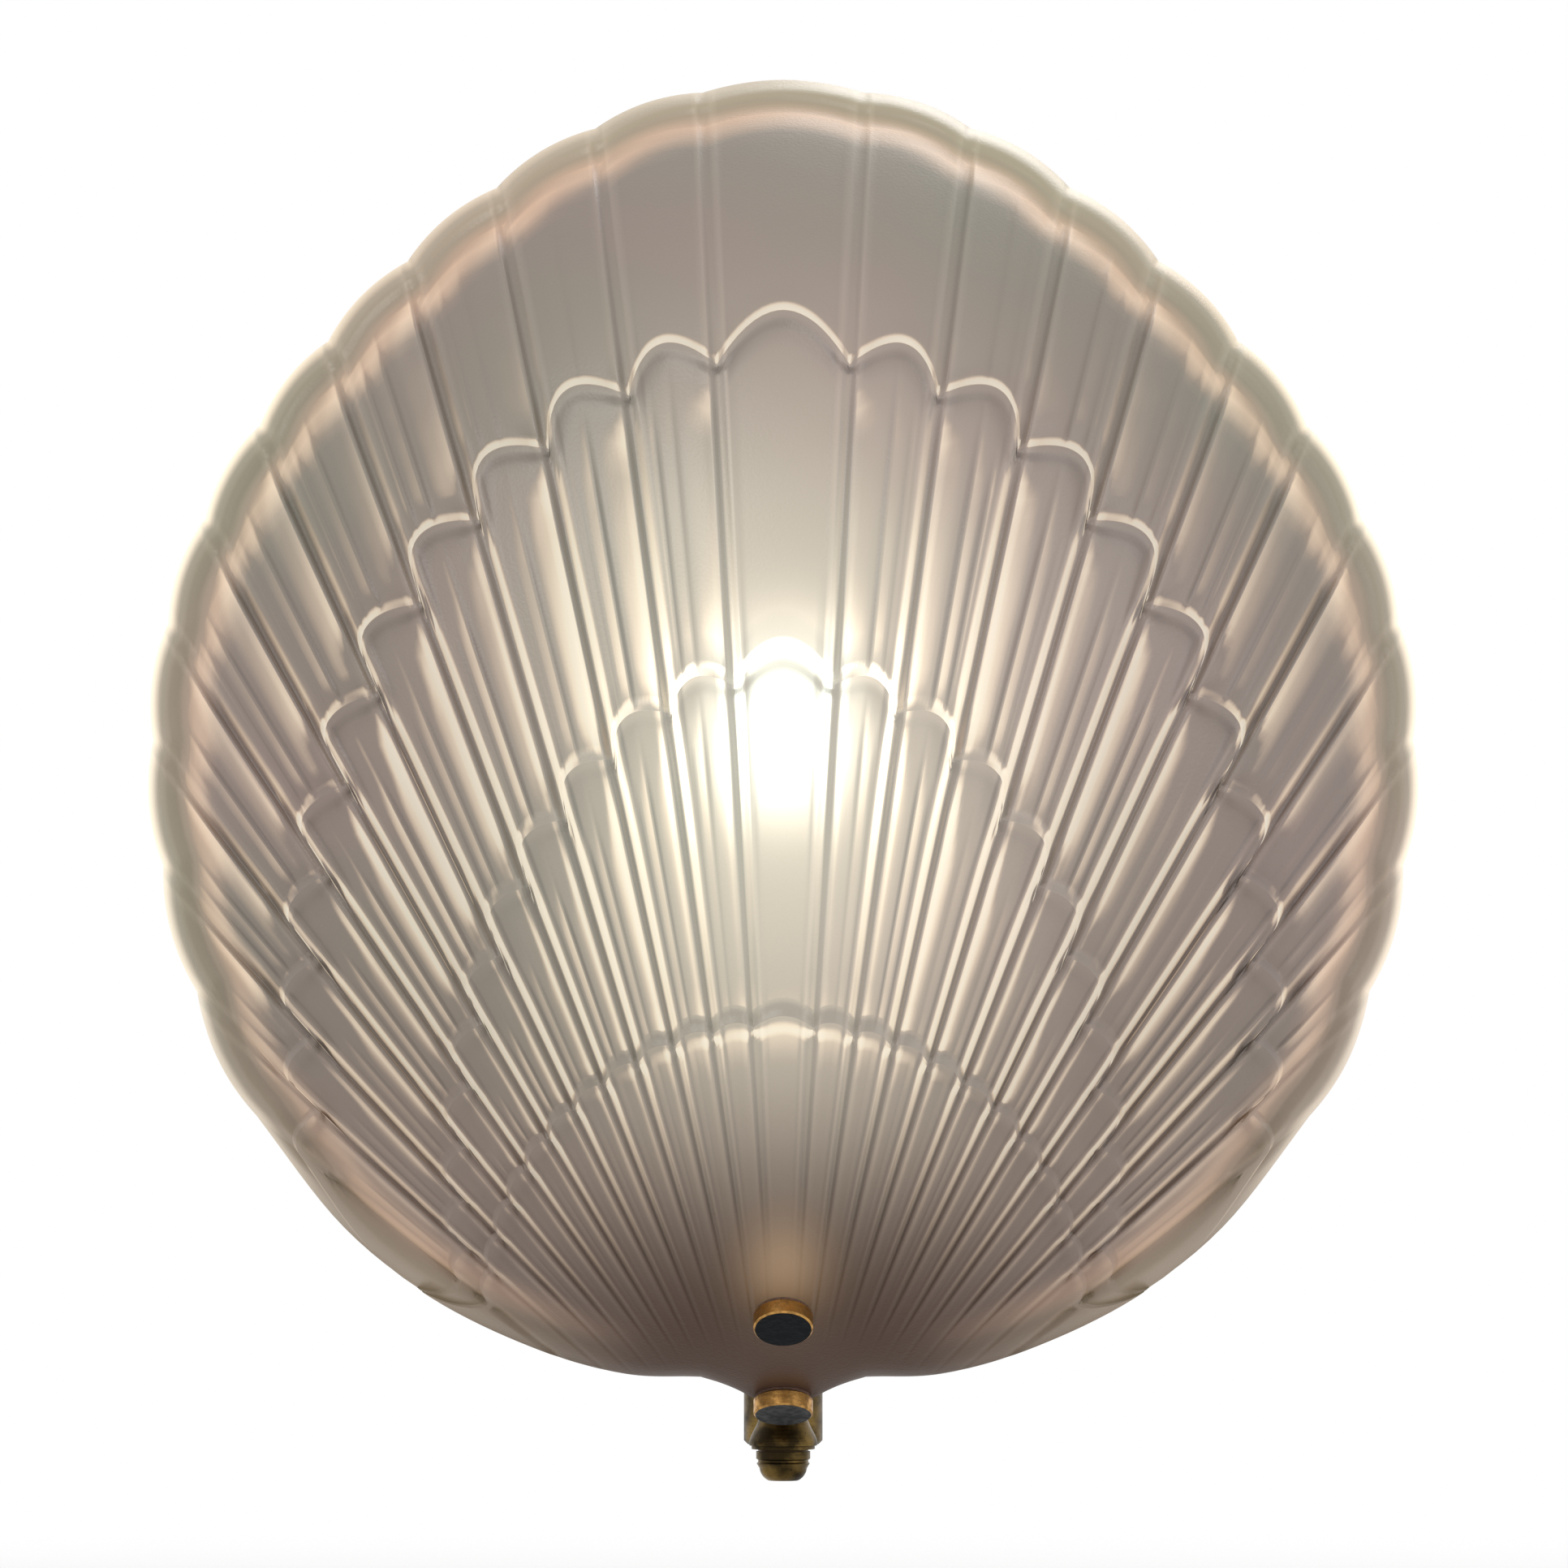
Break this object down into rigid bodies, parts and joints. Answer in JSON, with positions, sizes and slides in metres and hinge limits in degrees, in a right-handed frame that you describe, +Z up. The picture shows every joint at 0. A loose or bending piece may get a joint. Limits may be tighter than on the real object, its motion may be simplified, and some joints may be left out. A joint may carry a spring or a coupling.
{
  "type": "wall sconce",
  "caption": "Wall light with a satin pressed-glass scallop shell held by cap nuts on a brass strap, swivelling on a turned joint at the end of a bent arm.",
  "frame": {"origin": "middle of the canopy on the wall, centre of the two wall screw holes", "axes": "+X right as seen from the room, +Y into the wall, +Z up"},
  "size_m": [0.2634, 0.168, 0.2918],
  "materials": {
    "satin_glass": "acid-satined pressed glass, pale grey with a pink cast",
    "aged_brass": "turned brass, darkened with age",
    "zinc_steel": "zinc-plated steel",
    "contact_metal": "nickel-washed brass",
    "porcelain": "glazed porcelain",
    "frosted_bulb": "inside-frosted bulb glass",
    "fibre": "vulcanised fibre",
    "soft_washer": "soft black rubber",
    "terminal_plastic": "white nylon"
  },
  "bodies": {
    "wall_arm": {"canopy": "aged_brass", "canopy_screws": "aged_brass", "wall_bracket": "zinc_steel", "terminal_block": "terminal_plastic", "terminal_screws": "zinc_steel", "earth_washer": "zinc_steel", "earth_terminal_screw": "zinc_steel", "arm_tube": "aged_brass", "arm_collar": "aged_brass", "arm_lock_nut": "aged_brass", "arm_elbow": "aged_brass", "pivot_body": "aged_brass"},
    "shade_head": {"glass_shell": "satin_glass", "cap_nuts": "aged_brass", "outer_washers": "fibre", "inner_washers": "soft_washer", "fixing_studs": "aged_brass", "stud_nuts": "aged_brass", "shade_strap": "aged_brass", "lamp_stem": "aged_brass", "strap_lock_nut": "aged_brass", "top_friction_washer": "zinc_steel", "lower_friction_washer": "zinc_steel", "swivel_finial": "aged_brass", "holder_lock_nut": "aged_brass", "holder_cap": "aged_brass", "holder_sleeve": "aged_brass", "holder_core": "porcelain", "holder_terminal_screws": "zinc_steel", "socket_thread": "contact_metal", "socket_contact": "contact_metal", "bulb_contact": "contact_metal", "bulb_insulator": "porcelain", "bulb_cap": "contact_metal", "bulb_glass": "frosted_bulb"}
  },
  "joints": [
    {"name": "shade_swivel", "type": "hinge", "parent": "wall_arm", "child": "shade_head", "pos_m": [0, -0.06, -0.056], "axis": [0, 0, 1], "range_deg": [-30, 30]}
  ]
}
